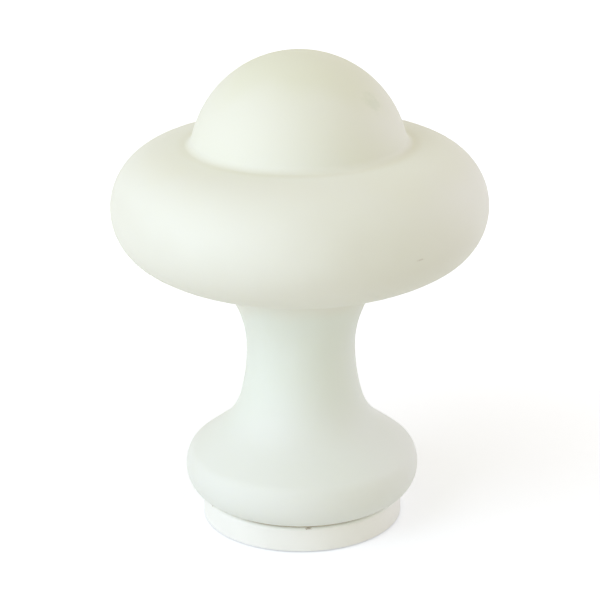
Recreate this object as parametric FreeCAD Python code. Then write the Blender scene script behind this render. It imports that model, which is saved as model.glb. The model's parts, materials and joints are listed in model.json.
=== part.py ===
import FreeCAD, Part
import math
import os

from FreeCAD import Vector

# Mushroom table lamp: one opal glass body on a low white base, in millimetres, with +Z up.
# The origin is the centre of the lamp's underside, on the table.

# --- Glass body, outer surface ---
LAMP_HEIGHT = 355.8
GLASS_WALL = 3.0
DOME_RADIUS = 79.1
CREASE_RADIUS = 83.0
CREASE_HEIGHT = 289.2
CAP_RADIUS = 136.9
CAP_MIDDLE_HEIGHT = 243.7
UNDERSIDE_RADIUS = 67.0
UNDERSIDE_HEIGHT = 186.6
UNDERSIDE_SLOPE = 10.4
WAIST_RADIUS = 39.8
WAIST_HEIGHT = 138.5
SHOULDER_RADIUS = 63.4
SHOULDER_HEIGHT = 69.2
SHOULDER_SLOPE = 37.1
SHOULDER_STRAIGHT = 22.0
FOOT_RADIUS = 87.3
FOOT_MIDDLE_HEIGHT = 40.5
LIP_FLAT_WIDTH = 6.4
# Reach of the first arc over the second in each pair of arcs between two stations.
CAP_TOP_BIAS = 0.34
CAP_UNDER_BIAS = 0.75
NECK_BIAS = 0.35
STEM_BIAS = 1.24
FOOT_TOP_BIAS = 0.79
FOOT_UNDER_BIAS = 0.46

# --- Base ---
BASE_RADIUS = 74.6
BASE_EDGE_ROUND = 2.5
SHEET = 1.2
SHOULDER_TOP = 19.3
STEP_RISE = 5.0
STEP_ROUND = 1.6
SKIRT_FLOOR_GAP = 1.0
SEAT_GAP = 0.3
FIT_GAP = 0.3
GASKET_FLANGE = 1.0
GASKET_UPSTAND = 0.8
GASKET_UPSTAND_HEIGHT = 2.4
LIP_FROM_BASE_EDGE = 5.2
FOOT_RING_FROM_EDGE = 6.6
FOOT_RING_WIDTH = 13.0
FOOT_RING_THICKNESS = 2.0
COVER_EDGE_GAP = 0.5
POST_COUNT = 3
POST_FROM_FOOT_RING = 9.0
POST_RADIUS = 4.0
SCREW_RADIUS = 1.5
SCREW_LENGTH = 9.0
SCREW_HEAD_RADIUS = 2.8
SCREW_HEAD_HEIGHT = 1.5
SCREW_HEAD_ROUND = 0.9
SCREW_HOLE_GAP = 0.2

# --- Cord inlet ---
INLET_HEIGHT = 9.8
CORD_BORE_RADIUS = 3.2
GROMMET_HOLE_RADIUS = 5.0
GROMMET_FLANGE_RADIUS = 6.6
GROMMET_FLANGE = 1.6

# --- Support tube ---
TUBE_RADIUS = 5.0
TUBE_BORE_RADIUS = 4.0
TUBE_BELOW_NUT = 1.2
WASHER_RADIUS = 9.0
WASHER_THICKNESS = 1.0
NUT_ACROSS_FLATS = 14.0
NUT_THICKNESS = 3.0
THREAD_GAP = 0.05

# --- Terminal block under the base's raised step ---
BLOCK_LENGTH = 15.0
BLOCK_WIDTH = 20.0
BLOCK_HEIGHT = 12.0
BLOCK_Y = 33.0
POLE_SPACING = 10.0
POLE_TUBE_RADIUS = 2.4
POLE_TUBE_INSET = 1.0
POLE_BORE_RADIUS = 1.5
POLE_SCREW_RADIUS = 1.3
POLE_SCREW_SPACING = 7.0
LEAD_RADIUS = 0.9
LEAD_SPREAD = 1.7
LEAD_DIP = 6.6
LEAD_LEVEL_RUN = 12.0
LEAD_SLOPE_RUN = 8.5
LEAD_IN_POLE = 4.0

# --- Lampholder ---
HOLDER_HEIGHT = 92.0
COLLAR_RADIUS = 8.0
COLLAR_HEIGHT = 8.0
HOLDER_WALL = 1.6
HOLDER_CAP_RADIUS = 19.4
HOLDER_CAP_HEIGHT = 27.0
HOLDER_SHELL_RADIUS = 21.4
HOLDER_SHELL_OVERLAP = 7.0
HOLDER_SHELL_HEIGHT = 37.0
HOLDER_SHELL_ROUND = 2.5
HOLDER_MOUTH_RADIUS = 15.6
INSERT_RADIUS = 18.6
INSERT_BASE = 8.0
SCREW_SHELL_WALL = 0.5
SCREW_SHELL_HEIGHT = 19.0
CONTACT_STRIP = 0.5
CONTACT_RISE = 2.6
CONTACT_WIDTH = 5.0
CONTACT_FOOT_END = 9.0
CONTACT_FOOT_START = 4.0
CONTACT_RAMP_TOP = 2.0
CONTACT_FLAT_END = 3.0
CONTACT_TIP_RUN = 1.0
CONTACT_TIP_DROP = 0.8
HOLDER_TERMINAL_SPREAD = 9.0
HOLDER_TERMINAL_RADIUS = 2.4
HOLDER_TERMINAL_HEIGHT = 5.0
HOLDER_TERMINAL_ROOF = 1.0

# --- Bulb ---
BULB_LENGTH = 105.0
BULB_RADIUS = 30.0
BULB_WALL = 0.8
BULB_NECK_RADIUS = 12.2
BULB_NECK_TOP = 30.0
BULB_NECK_BOTTOM = 18.0
BULB_CAP_RADIUS = 13.15
BULB_CAP_WALL = 0.4
BULB_CAP_BOTTOM = 3.0
BULB_CAP_TOP = 25.5
BULB_CAP_GAP = 0.3
BULB_CAP_TAPER = 3.0
BULB_CAP_ROUND = 1.0
BULB_TIP_RADIUS = 4.2
BULB_TIP_HEIGHT = 0.8
INSULATOR_LIP = 0.6
INSULATOR_DROP = 0.2
INSULATOR_RISE = 1.2
STEM_FLARE_EDGE = 1.0
STEM_FLARE_HEIGHT = 6.0
STEM_TUBE_RADIUS = 3.6
STEM_TUBE_HEIGHT = 22.0
STEM_ROD_RADIUS = 1.6
STEM_ROD_HEIGHT = 16.0
WIRE_UPRIGHT = 5.0
WIRE_SLANT = 10.0
WIRE_RADIUS = 0.35
WIRE_SPREAD = 13.0
FILAMENT_SAG_RUN = 6.5

# --- Levels worked out from the sizes above ---
STEP_TOP = SHOULDER_TOP + STEP_RISE
STEP_UNDERSIDE = STEP_TOP - SHEET
LIP_LEVEL = SHOULDER_TOP + GASKET_FLANGE + SEAT_GAP
COVER_TOP = FOOT_RING_THICKNESS + SHEET
LIP_FLAT_RADIUS = BASE_RADIUS - LIP_FROM_BASE_EDGE
LIP_BORE_RADIUS = LIP_FLAT_RADIUS - LIP_FLAT_WIDTH
FOOT_RING_OUTER = BASE_RADIUS - FOOT_RING_FROM_EDGE
FOOT_RING_INNER = FOOT_RING_OUTER - FOOT_RING_WIDTH
POST_CIRCLE_RADIUS = FOOT_RING_INNER - POST_FROM_FOOT_RING
STEP_RADIUS = LIP_BORE_RADIUS - SEAT_GAP - GASKET_UPSTAND - FIT_GAP
HOLDER_CAP_TOP = HOLDER_HEIGHT + HOLDER_CAP_HEIGHT
SHELL_BOTTOM = HOLDER_CAP_TOP - HOLDER_SHELL_OVERLAP
SHELL_TOP = SHELL_BOTTOM + HOLDER_SHELL_HEIGHT
INSERT_BOTTOM = HOLDER_CAP_TOP
SOCKET_FLOOR = INSERT_BOTTOM + INSERT_BASE
BULB_TIP = SOCKET_FLOOR + CONTACT_STRIP + CONTACT_RISE + SEAT_GAP
SCREW_SHELL_INNER = BULB_CAP_RADIUS + BULB_CAP_GAP
SCREW_SHELL_OUTER = SCREW_SHELL_INNER + SCREW_SHELL_WALL
TUBE_BOTTOM = STEP_UNDERSIDE - WASHER_THICKNESS - NUT_THICKNESS - TUBE_BELOW_NUT
TUBE_TOP = HOLDER_HEIGHT + COLLAR_HEIGHT
BLOCK_BOTTOM = STEP_UNDERSIDE - BLOCK_HEIGHT
POLE_HEIGHT = STEP_UNDERSIDE - BLOCK_HEIGHT / 2


def direction(heading):
    """Unit vector in the XZ plane: 0 degrees points outwards, 90 degrees down."""
    angle = math.radians(heading)
    return Vector(math.cos(angle), 0, -math.sin(angle))


def side_of(tangent):
    """The tangent turned a quarter turn towards the inside of an outline."""
    return Vector(tangent.z, 0, -tangent.x)


def station(radius, height, heading):
    return (Vector(radius, 0, height), direction(heading))


def biarc(start, end, ratio=1.0):
    """The point where two tangent arcs from start to end meet, with its tangent."""
    chord = end[0] - start[0]
    blend = start[1] * ratio + end[1]
    bend = 2 * ratio * (1 - start[1].dot(end[1]))
    along = chord.dot(blend)
    if bend < 1e-9:
        reach = chord.dot(chord) / (2 * along)
    else:
        reach = (math.sqrt(along ** 2 + bend * chord.dot(chord)) - along) / bend
    first = start[0] + start[1] * (ratio * reach)
    second = end[0] - end[1] * reach
    tangent = (second - first).normalize()
    return ((first + second * ratio) * (1 / (1 + ratio)), tangent)


def offset(nodes, distance):
    """The same outline moved sideways, so that its arcs stay concentric."""
    return [(point + side_of(tangent) * distance, tangent) for point, tangent in nodes]


def outline_edges(nodes):
    """One arc or straight line from each node of an outline to the next."""
    edges = []
    for (start, tangent), (end, _) in zip(nodes, nodes[1:]):
        chord = end - start
        bulge = chord.dot(side_of(tangent))
        if abs(bulge) < 1e-7 * chord.Length:
            edges.append(Part.makeLine(start, end))
            continue
        centre = start + side_of(tangent) * (chord.dot(chord) / (2 * bulge))
        outwards = (start + end) * 0.5 - centre
        middle = centre + outwards.normalize() * (start - centre).Length
        edges.append(Part.Arc(start, middle, end).toShape())
    return edges


def rounded(points, radii):
    """Nodes of a polyline in the XZ plane whose inner corners have the given radii."""
    corners = [Vector(radius, 0, height) for radius, height in points]
    way = [(b - a).normalize() for a, b in zip(corners, corners[1:])]
    nodes = [(corners[0], way[0])]
    for corner, before, after, radius in zip(corners[1:], way, way[1:], radii):
        turn = before.getAngle(after)
        cut = radius * math.tan(turn / 2)
        nodes.append((corner - before * cut, before))
        nodes.append((corner + after * cut, after))
    nodes.append((corners[-1], way[-1]))
    return nodes


def revolve(edges):
    face = Part.Face(Part.Wire(Part.__sortEdges__(edges)))
    return face.revolve(Vector(0, 0, 0), Vector(0, 0, 1), 360)


def join(start, end):
    """A straight edge between two points, or none where they coincide."""
    return [Part.makeLine(start, end)] if (end - start).Length > 1e-7 else []


def thin_shell(nodes, wall):
    """Revolved sheet between an outline and the same outline moved by the wall."""
    inner = offset(nodes, wall)
    edges = outline_edges(nodes) + outline_edges(inner)
    edges += join(nodes[0][0], inner[0][0]) + join(nodes[-1][0], inner[-1][0])
    return revolve(edges)


def turned(points):
    """Revolved solid from a closed outline of (radius, height) corners."""
    corners = [Vector(radius, 0, height) for radius, height in points]
    edges = [Part.makeLine(a, b) for a, b in zip(corners, corners[1:] + corners[:1])]
    return revolve(edges)


def ring(outer, inner, bottom, top):
    return turned([(inner, bottom), (outer, bottom), (outer, top), (inner, top)])


def disc(radius, bottom, top, x=0.0, y=0.0):
    return Part.makeCylinder(radius, top - bottom, Vector(x, y, bottom))


def around(count, solid):
    """Copies of a solid at equal angles round the lamp's axis."""
    copies = []
    for index in range(count):
        copy = solid.copy()
        copy.rotate(Vector(0, 0, 0), Vector(0, 0, 1), 360.0 * index / count)
        copies.append(copy)
    return copies


def tube_along(points, radius):
    """Round wire along straight runs joined by tangent arcs, as wide as the runs allow."""
    lengths = [(b - a).Length for a, b in zip(points, points[1:])]
    ways = [(b - a).normalize() for a, b in zip(points, points[1:])]
    edges = []
    last = points[0]
    for index, corner in enumerate(points[1:-1]):
        before, after = ways[index], ways[index + 1]
        cut = 0.45 * min(lengths[index], lengths[index + 1])
        start = corner - before * cut
        end = corner + after * cut
        bend = cut / math.tan(before.getAngle(after) / 2)
        inwards = ((start + end) * 0.5 - corner).normalize()
        middle = corner + inwards * (math.hypot(cut, bend) - bend)
        edges += join(last, start)
        edges.append(Part.Arc(start, middle, end).toShape())
        print("wire bend radius %.1f mm" % bend)
        last = end
    edges += join(last, points[-1])
    path = Part.Wire(edges)
    section = Part.Wire(Part.makeCircle(radius, points[0], points[1] - points[0]))
    return path.makePipeShell([section], True, False)


def glass_outline():
    """Outer surface from the dome's top to the flat lip under the foot, as tangent arcs."""
    dome_centre = LAMP_HEIGHT - DOME_RADIUS
    above = CREASE_HEIGHT - dome_centre
    fillet = (CREASE_RADIUS ** 2 + above ** 2 - DOME_RADIUS ** 2) / (2 * (DOME_RADIUS - above))
    dome_end = math.degrees(math.atan2(CREASE_RADIUS, above + fillet))
    dome_edge = Vector(0, 0, dome_centre) - side_of(direction(dome_end)) * DOME_RADIUS
    top = station(0, LAMP_HEIGHT, 0)
    crease = station(CREASE_RADIUS, CREASE_HEIGHT, 0)
    cap = station(CAP_RADIUS, CAP_MIDDLE_HEIGHT, 90)
    underside = station(UNDERSIDE_RADIUS, UNDERSIDE_HEIGHT, 180 - UNDERSIDE_SLOPE)
    waist = station(WAIST_RADIUS, WAIST_HEIGHT, 90)
    shoulder = station(SHOULDER_RADIUS, SHOULDER_HEIGHT, SHOULDER_SLOPE)
    straight_end = (shoulder[0] + shoulder[1] * SHOULDER_STRAIGHT, shoulder[1])
    foot = station(FOOT_RADIUS, FOOT_MIDDLE_HEIGHT, 90)
    lip = station(LIP_FLAT_RADIUS, LIP_LEVEL, 180)
    mouth = station(LIP_BORE_RADIUS + GLASS_WALL / 2, LIP_LEVEL, 180)
    return [
        top,
        (dome_edge, direction(dome_end)),
        crease,
        biarc(crease, cap, CAP_TOP_BIAS),
        cap,
        biarc(cap, underside, CAP_UNDER_BIAS),
        underside,
        biarc(underside, waist, NECK_BIAS),
        waist,
        biarc(waist, shoulder, STEM_BIAS),
        shoulder,
        straight_end,
        biarc(straight_end, foot, FOOT_TOP_BIAS),
        foot,
        biarc(foot, lip, FOOT_UNDER_BIAS),
        lip,
        mouth,
    ]


def glass_shade():
    """Blown shell of even wall with a rounded rim; the same arcs, moved in, give the inside."""
    outer = glass_outline()
    inner = offset(outer, GLASS_WALL)
    rim = (outer[-1][0] + inner[-1][0]) * 0.5 - Vector(GLASS_WALL / 2, 0, 0)
    edges = outline_edges(outer) + outline_edges(inner)
    edges.append(Part.Arc(outer[-1][0], rim, inner[-1][0]).toShape())
    edges.append(Part.makeLine(inner[0][0], outer[0][0]))
    return revolve(edges)


def shade_gasket():
    upstand_inner = STEP_RADIUS + FIT_GAP
    upstand_outer = upstand_inner + GASKET_UPSTAND
    flange_outer = BASE_RADIUS - BASE_EDGE_ROUND
    flange_top = SHOULDER_TOP + GASKET_FLANGE
    return turned([
        (upstand_inner, SHOULDER_TOP),
        (flange_outer, SHOULDER_TOP),
        (flange_outer, flange_top),
        (upstand_outer, flange_top),
        (upstand_outer, flange_top + GASKET_UPSTAND_HEIGHT),
        (upstand_inner, flange_top + GASKET_UPSTAND_HEIGHT),
    ])


def base_pan():
    """Pressed pan: raised step inside the glass, seat shoulder, round edge and skirt."""
    corners = [
        (TUBE_RADIUS + FIT_GAP, STEP_TOP),
        (STEP_RADIUS, STEP_TOP),
        (STEP_RADIUS, SHOULDER_TOP),
        (BASE_RADIUS, SHOULDER_TOP),
        (BASE_RADIUS, SKIRT_FLOOR_GAP),
    ]
    pan = thin_shell(rounded(corners, [STEP_ROUND, FIT_GAP, BASE_EDGE_ROUND]), SHEET)
    inlet = Part.makeCylinder(
        GROMMET_HOLE_RADIUS, BASE_RADIUS, Vector(0, 0, INLET_HEIGHT), Vector(0, 1, 0))
    block_screw_hole = disc(SCREW_RADIUS + THREAD_GAP, STEP_UNDERSIDE, STEP_TOP, 0, BLOCK_Y)
    return pan.cut([inlet, block_screw_hole])


def bottom_cover():
    cover = disc(BASE_RADIUS - SHEET - COVER_EDGE_GAP, FOOT_RING_THICKNESS, COVER_TOP)
    hole = disc(SCREW_RADIUS + SCREW_HOLE_GAP, FOOT_RING_THICKNESS, COVER_TOP, 0, -POST_CIRCLE_RADIUS)
    return cover.cut(around(POST_COUNT, hole))


def cover_posts():
    post = disc(POST_RADIUS, COVER_TOP, STEP_UNDERSIDE, 0, -POST_CIRCLE_RADIUS)
    depth = FOOT_RING_THICKNESS + SCREW_LENGTH + SCREW_HOLE_GAP
    bore = disc(SCREW_RADIUS + THREAD_GAP, COVER_TOP, depth, 0, -POST_CIRCLE_RADIUS)
    return Part.makeCompound(around(POST_COUNT, post.cut(bore)))


def screw(head_top, length, x, y):
    """Round-headed machine screw that points up, its head under head_top."""
    head = disc(SCREW_HEAD_RADIUS, head_top - SCREW_HEAD_HEIGHT, head_top, x, y)
    crown = [edge for edge in head.Edges if edge.BoundBox.ZMax < head_top - SCREW_HEAD_HEIGHT / 2]
    head = head.makeFillet(SCREW_HEAD_ROUND, crown)
    return head.fuse(disc(SCREW_RADIUS, head_top, head_top + length, x, y))


def cover_screws():
    first = screw(FOOT_RING_THICKNESS, SCREW_LENGTH, 0, -POST_CIRCLE_RADIUS)
    return Part.makeCompound(around(POST_COUNT, first))


def foot_ring():
    return ring(FOOT_RING_OUTER, FOOT_RING_INNER, 0, FOOT_RING_THICKNESS)


def cord_grommet():
    """Rubber bush whose groove holds the edge of the hole in the skirt's back."""
    inside_wall = math.sqrt((BASE_RADIUS - SHEET) ** 2 - GROMMET_FLANGE_RADIUS ** 2) - THREAD_GAP
    outside_wall = BASE_RADIUS + THREAD_GAP
    groove = GROMMET_HOLE_RADIUS - THREAD_GAP
    bush = turned([
        (CORD_BORE_RADIUS, inside_wall - GROMMET_FLANGE),
        (GROMMET_FLANGE_RADIUS, inside_wall - GROMMET_FLANGE),
        (GROMMET_FLANGE_RADIUS, inside_wall),
        (groove, inside_wall),
        (groove, outside_wall),
        (GROMMET_FLANGE_RADIUS, outside_wall),
        (GROMMET_FLANGE_RADIUS, outside_wall + GROMMET_FLANGE / 2),
        (GROMMET_FLANGE_RADIUS - GROMMET_FLANGE / 2, outside_wall + GROMMET_FLANGE),
        (CORD_BORE_RADIUS, outside_wall + GROMMET_FLANGE),
    ])
    bush.rotate(Vector(0, 0, 0), Vector(1, 0, 0), -90)
    bush.translate(Vector(0, 0, INLET_HEIGHT))
    return bush


def support_tube():
    return ring(TUBE_RADIUS, TUBE_BORE_RADIUS, TUBE_BOTTOM, TUBE_TOP)


def hex_nut(bottom):
    corner_radius = NUT_ACROSS_FLATS / math.sqrt(3)
    corners = [
        Vector(corner_radius * math.cos(angle), corner_radius * math.sin(angle), bottom)
        for angle in [math.radians(60 * index) for index in range(6)]
    ]
    block = Part.Face(Part.makePolygon(corners + corners[:1])).extrude(Vector(0, 0, NUT_THICKNESS))
    return block.cut(disc(TUBE_RADIUS + THREAD_GAP, bottom, bottom + NUT_THICKNESS))


def tube_washers():
    bore = TUBE_RADIUS + FIT_GAP
    upper = ring(WASHER_RADIUS, bore, STEP_TOP, STEP_TOP + WASHER_THICKNESS)
    lower = ring(WASHER_RADIUS, bore, STEP_UNDERSIDE - WASHER_THICKNESS, STEP_UNDERSIDE)
    return Part.makeCompound([upper, lower])


def pole_places():
    return [-POLE_SPACING / 2, POLE_SPACING / 2]


def pole_screw_places():
    return [
        (x, BLOCK_Y + side * POLE_SCREW_SPACING / 2)
        for x in pole_places() for side in (-1, 1)
    ]


def along_y(radius, start, length, x, height):
    return Part.makeCylinder(radius, length, Vector(x, start, height), Vector(0, 1, 0))


def terminal_block():
    """Insulating block with a bore for each pole and a shaft down to each clamping screw."""
    corner = Vector(-BLOCK_WIDTH / 2, BLOCK_Y - BLOCK_LENGTH / 2, BLOCK_BOTTOM)
    block = Part.makeBox(BLOCK_WIDTH, BLOCK_LENGTH, BLOCK_HEIGHT, corner)
    start = BLOCK_Y - BLOCK_LENGTH / 2
    cuts = [
        along_y(POLE_TUBE_RADIUS + THREAD_GAP, start, BLOCK_LENGTH, x, POLE_HEIGHT)
        for x in pole_places()
    ]
    cuts += [
        disc(POLE_SCREW_RADIUS + SCREW_HOLE_GAP, BLOCK_BOTTOM, POLE_HEIGHT, x, y)
        for x, y in pole_screw_places()
    ]
    cuts.append(disc(SCREW_RADIUS + SCREW_HOLE_GAP, BLOCK_BOTTOM, STEP_UNDERSIDE, 0, BLOCK_Y))
    return block.cut(cuts)


def terminal_tubes():
    length = BLOCK_LENGTH - 2 * POLE_TUBE_INSET
    start = BLOCK_Y - length / 2
    holes = [
        disc(POLE_SCREW_RADIUS + THREAD_GAP, BLOCK_BOTTOM, POLE_HEIGHT, x, y)
        for x, y in pole_screw_places()
    ]
    tubes = []
    for x in pole_places():
        tube = along_y(POLE_TUBE_RADIUS, start, length, x, POLE_HEIGHT)
        bore = along_y(POLE_BORE_RADIUS, start, length, x, POLE_HEIGHT)
        tubes.append(tube.cut([bore] + holes))
    return Part.makeCompound(tubes)


def terminal_screws():
    top = POLE_HEIGHT - LEAD_RADIUS - THREAD_GAP
    return Part.makeCompound([
        disc(POLE_SCREW_RADIUS, BLOCK_BOTTOM + THREAD_GAP, top, x, y)
        for x, y in pole_screw_places()
    ])


def lead(side):
    """Insulated wire from its pole, down and under the tube, up it and into the lampholder."""
    pole = side * POLE_SPACING / 2
    inside = side * LEAD_SPREAD
    block_edge = BLOCK_Y - BLOCK_LENGTH / 2
    low = POLE_HEIGHT - LEAD_DIP
    terminal = side * HOLDER_TERMINAL_SPREAD
    return tube_along([
        Vector(pole, block_edge + LEAD_IN_POLE, POLE_HEIGHT),
        Vector(pole, block_edge - LEAD_IN_POLE / 2, POLE_HEIGHT),
        Vector(inside, LEAD_LEVEL_RUN, low),
        Vector(inside, 0, low),
        Vector(inside, 0, TUBE_TOP + FIT_GAP),
        Vector(terminal, 0, INSERT_BOTTOM - HOLDER_TERMINAL_HEIGHT - LEAD_SLOPE_RUN / 2),
        Vector(terminal, 0, INSERT_BOTTOM - HOLDER_TERMINAL_HEIGHT / 2),
    ], LEAD_RADIUS)


def lampholder_cap():
    """Bell that carries the holder, threaded on the tube by its collar."""
    bell = station(COLLAR_RADIUS, HOLDER_HEIGHT + COLLAR_HEIGHT, 90)
    rim = station(HOLDER_CAP_RADIUS, HOLDER_CAP_TOP, 90)
    foot = station(COLLAR_RADIUS, HOLDER_HEIGHT, 90)
    shell = thin_shell([rim, biarc(rim, bell), bell, foot], HOLDER_WALL)
    collar = ring(COLLAR_RADIUS, TUBE_RADIUS + THREAD_GAP, HOLDER_HEIGHT, HOLDER_HEIGHT + COLLAR_HEIGHT)
    return shell.fuse(collar).removeSplitter()


def lampholder_shell():
    corners = [
        (HOLDER_MOUTH_RADIUS, SHELL_TOP),
        (HOLDER_SHELL_RADIUS, SHELL_TOP),
        (HOLDER_SHELL_RADIUS, SHELL_BOTTOM),
    ]
    return thin_shell(rounded(corners, [HOLDER_SHELL_ROUND]), HOLDER_WALL)


def lampholder_insert():
    bore = SCREW_SHELL_OUTER + FIT_GAP
    top = SHELL_TOP - HOLDER_WALL - FIT_GAP
    return turned([
        (0, INSERT_BOTTOM),
        (INSERT_RADIUS, INSERT_BOTTOM),
        (INSERT_RADIUS, top),
        (bore, top),
        (bore, SOCKET_FLOOR),
        (0, SOCKET_FLOOR),
    ])


def lampholder_screw_shell():
    return ring(SCREW_SHELL_OUTER, SCREW_SHELL_INNER, SOCKET_FLOOR, SOCKET_FLOOR + SCREW_SHELL_HEIGHT)


def lampholder_centre_contact():
    """Springy strip: a flat foot, a ramp and a raised flat under the bulb's tip."""
    lower = [
        (-CONTACT_FOOT_END, 0),
        (-CONTACT_FOOT_START, 0),
        (-CONTACT_RAMP_TOP, CONTACT_RISE),
        (CONTACT_FLAT_END, CONTACT_RISE),
        (CONTACT_FLAT_END + CONTACT_TIP_RUN, CONTACT_RISE - CONTACT_TIP_DROP),
    ]
    upper = [(x, z + CONTACT_STRIP) for x, z in reversed(lower)]
    corners = [Vector(x, -CONTACT_WIDTH / 2, SOCKET_FLOOR + z) for x, z in lower + upper]
    return Part.Face(Part.makePolygon(corners + corners[:1])).extrude(Vector(0, CONTACT_WIDTH, 0))


def lampholder_terminals():
    bottom = INSERT_BOTTOM - HOLDER_TERMINAL_HEIGHT
    hole_top = INSERT_BOTTOM - HOLDER_TERMINAL_ROOF
    terminals = []
    for x in (-HOLDER_TERMINAL_SPREAD, HOLDER_TERMINAL_SPREAD):
        post = disc(HOLDER_TERMINAL_RADIUS, bottom, INSERT_BOTTOM, x)
        terminals.append(post.cut(disc(LEAD_RADIUS + SCREW_HOLE_GAP, bottom, hole_top, x)))
    return Part.makeCompound(terminals)


def bulb_station(radius, height, heading):
    return station(radius, BULB_TIP + height, heading)


def bulb_glass():
    top = bulb_station(0, BULB_LENGTH, 0)
    middle = bulb_station(BULB_RADIUS, BULB_LENGTH - BULB_RADIUS, 90)
    neck = bulb_station(BULB_NECK_RADIUS, BULB_NECK_TOP, 90)
    end = bulb_station(BULB_NECK_RADIUS, BULB_NECK_BOTTOM, 90)
    return thin_shell([top, middle, biarc(middle, neck), neck, end], BULB_WALL)


def bulb_screw_cap():
    corners = [
        (BULB_CAP_RADIUS, BULB_TIP + BULB_CAP_TOP),
        (BULB_CAP_RADIUS, BULB_TIP + BULB_CAP_BOTTOM + BULB_CAP_TAPER),
        (BULB_CAP_RADIUS - BULB_CAP_TAPER, BULB_TIP + BULB_CAP_BOTTOM),
    ]
    return thin_shell(rounded(corners, [BULB_CAP_ROUND]), BULB_CAP_WALL)


def bulb_insulator():
    outer = BULB_CAP_RADIUS - BULB_CAP_TAPER - BULB_CAP_WALL - THREAD_GAP
    top = BULB_TIP + BULB_CAP_BOTTOM + INSULATOR_RISE
    return turned([
        (0, BULB_TIP + BULB_TIP_HEIGHT),
        (BULB_TIP_RADIUS + INSULATOR_LIP, BULB_TIP + BULB_TIP_HEIGHT),
        (outer, BULB_TIP + BULB_CAP_BOTTOM - INSULATOR_DROP),
        (outer, top),
        (0, top),
    ])


def bulb_tip_contact():
    return disc(BULB_TIP_RADIUS, BULB_TIP, BULB_TIP + BULB_TIP_HEIGHT)


def bulb_stem():
    """Flared glass stem inside the neck, with the rod that stands on it."""
    foot = BULB_TIP + BULB_NECK_BOTTOM
    flare = BULB_NECK_RADIUS - BULB_WALL - THREAD_GAP
    return turned([
        (0, foot),
        (flare, foot),
        (flare, foot + STEM_FLARE_EDGE),
        (STEM_TUBE_RADIUS, foot + STEM_FLARE_HEIGHT),
        (STEM_TUBE_RADIUS, foot + STEM_TUBE_HEIGHT),
        (STEM_ROD_RADIUS, foot + STEM_TUBE_HEIGHT),
        (STEM_ROD_RADIUS, foot + STEM_TUBE_HEIGHT + STEM_ROD_HEIGHT),
        (0, foot + STEM_TUBE_HEIGHT + STEM_ROD_HEIGHT),
    ])


def bulb_wires():
    base = BULB_TIP + BULB_NECK_BOTTOM + STEM_TUBE_HEIGHT
    start = (STEM_TUBE_RADIUS + STEM_ROD_RADIUS) / 2
    return Part.makeCompound([
        tube_along([
            Vector(side * start, 0, base),
            Vector(side * start, 0, base + WIRE_UPRIGHT),
            Vector(side * WIRE_SPREAD, 0, base + WIRE_UPRIGHT + WIRE_SLANT),
            Vector(side * WIRE_SPREAD, 0, base + 2 * WIRE_UPRIGHT + WIRE_SLANT),
        ], WIRE_RADIUS)
        for side in (-1, 1)
    ])


def bulb_filament():
    stem_top = BULB_TIP + BULB_NECK_BOTTOM + STEM_TUBE_HEIGHT
    ends = stem_top + 2 * WIRE_UPRIGHT + WIRE_SLANT - WIRE_RADIUS
    middle = stem_top + STEM_ROD_HEIGHT + THREAD_GAP + WIRE_RADIUS
    end = WIRE_SPREAD - WIRE_RADIUS - THREAD_GAP
    return tube_along([
        Vector(-end, 0, ends),
        Vector(-end + FILAMENT_SAG_RUN, 0, middle),
        Vector(end - FILAMENT_SAG_RUN, 0, middle),
        Vector(end, 0, ends),
    ], WIRE_RADIUS)


NODES = {
    "glass_shade": glass_shade(),
    "shade_gasket": shade_gasket(),
    "base_pan": base_pan(),
    "bottom_cover": bottom_cover(),
    "cover_posts": cover_posts(),
    "cover_screws": cover_screws(),
    "foot_ring": foot_ring(),
    "cord_grommet": cord_grommet(),
    "terminal_block": terminal_block(),
    "terminal_tubes": terminal_tubes(),
    "terminal_screws": terminal_screws(),
    "terminal_block_screw": screw(BLOCK_BOTTOM, BLOCK_HEIGHT + SHEET, 0, BLOCK_Y),
    "live_lead": lead(-1),
    "neutral_lead": lead(1),
    "support_tube": support_tube(),
    "tube_washers": tube_washers(),
    "tube_nut_upper": hex_nut(STEP_TOP + WASHER_THICKNESS),
    "tube_nut_lower": hex_nut(STEP_UNDERSIDE - WASHER_THICKNESS - NUT_THICKNESS),
    "lampholder_lock_nut": hex_nut(HOLDER_HEIGHT - NUT_THICKNESS),
    "lampholder_cap": lampholder_cap(),
    "lampholder_shell": lampholder_shell(),
    "lampholder_insert": lampholder_insert(),
    "lampholder_screw_shell": lampholder_screw_shell(),
    "lampholder_centre_contact": lampholder_centre_contact(),
    "lampholder_terminals": lampholder_terminals(),
    "bulb_glass": bulb_glass(),
    "bulb_screw_cap": bulb_screw_cap(),
    "bulb_insulator": bulb_insulator(),
    "bulb_tip_contact": bulb_tip_contact(),
    "bulb_stem": bulb_stem(),
    "bulb_wires": bulb_wires(),
    "bulb_filament": bulb_filament(),
}

os.makedirs("parts", exist_ok=True)
for name, shape in NODES.items():
    shape.exportStep("parts/%s.step" % name)
    box = shape.BoundBox
    print("%-28s solids %d valid %s volume %9.1f  z %6.1f to %6.1f  x %6.1f to %6.1f" % (
        name, len(shape.Solids), shape.isValid(), shape.Volume,
        box.ZMin, box.ZMax, box.XMin, box.XMax))
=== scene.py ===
"""Looks of the mushroom table lamp: satin opal glass on a low white base, in metres."""
import json
import math

import bmesh
import bpy
from mathutils import Matrix, Vector

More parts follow.
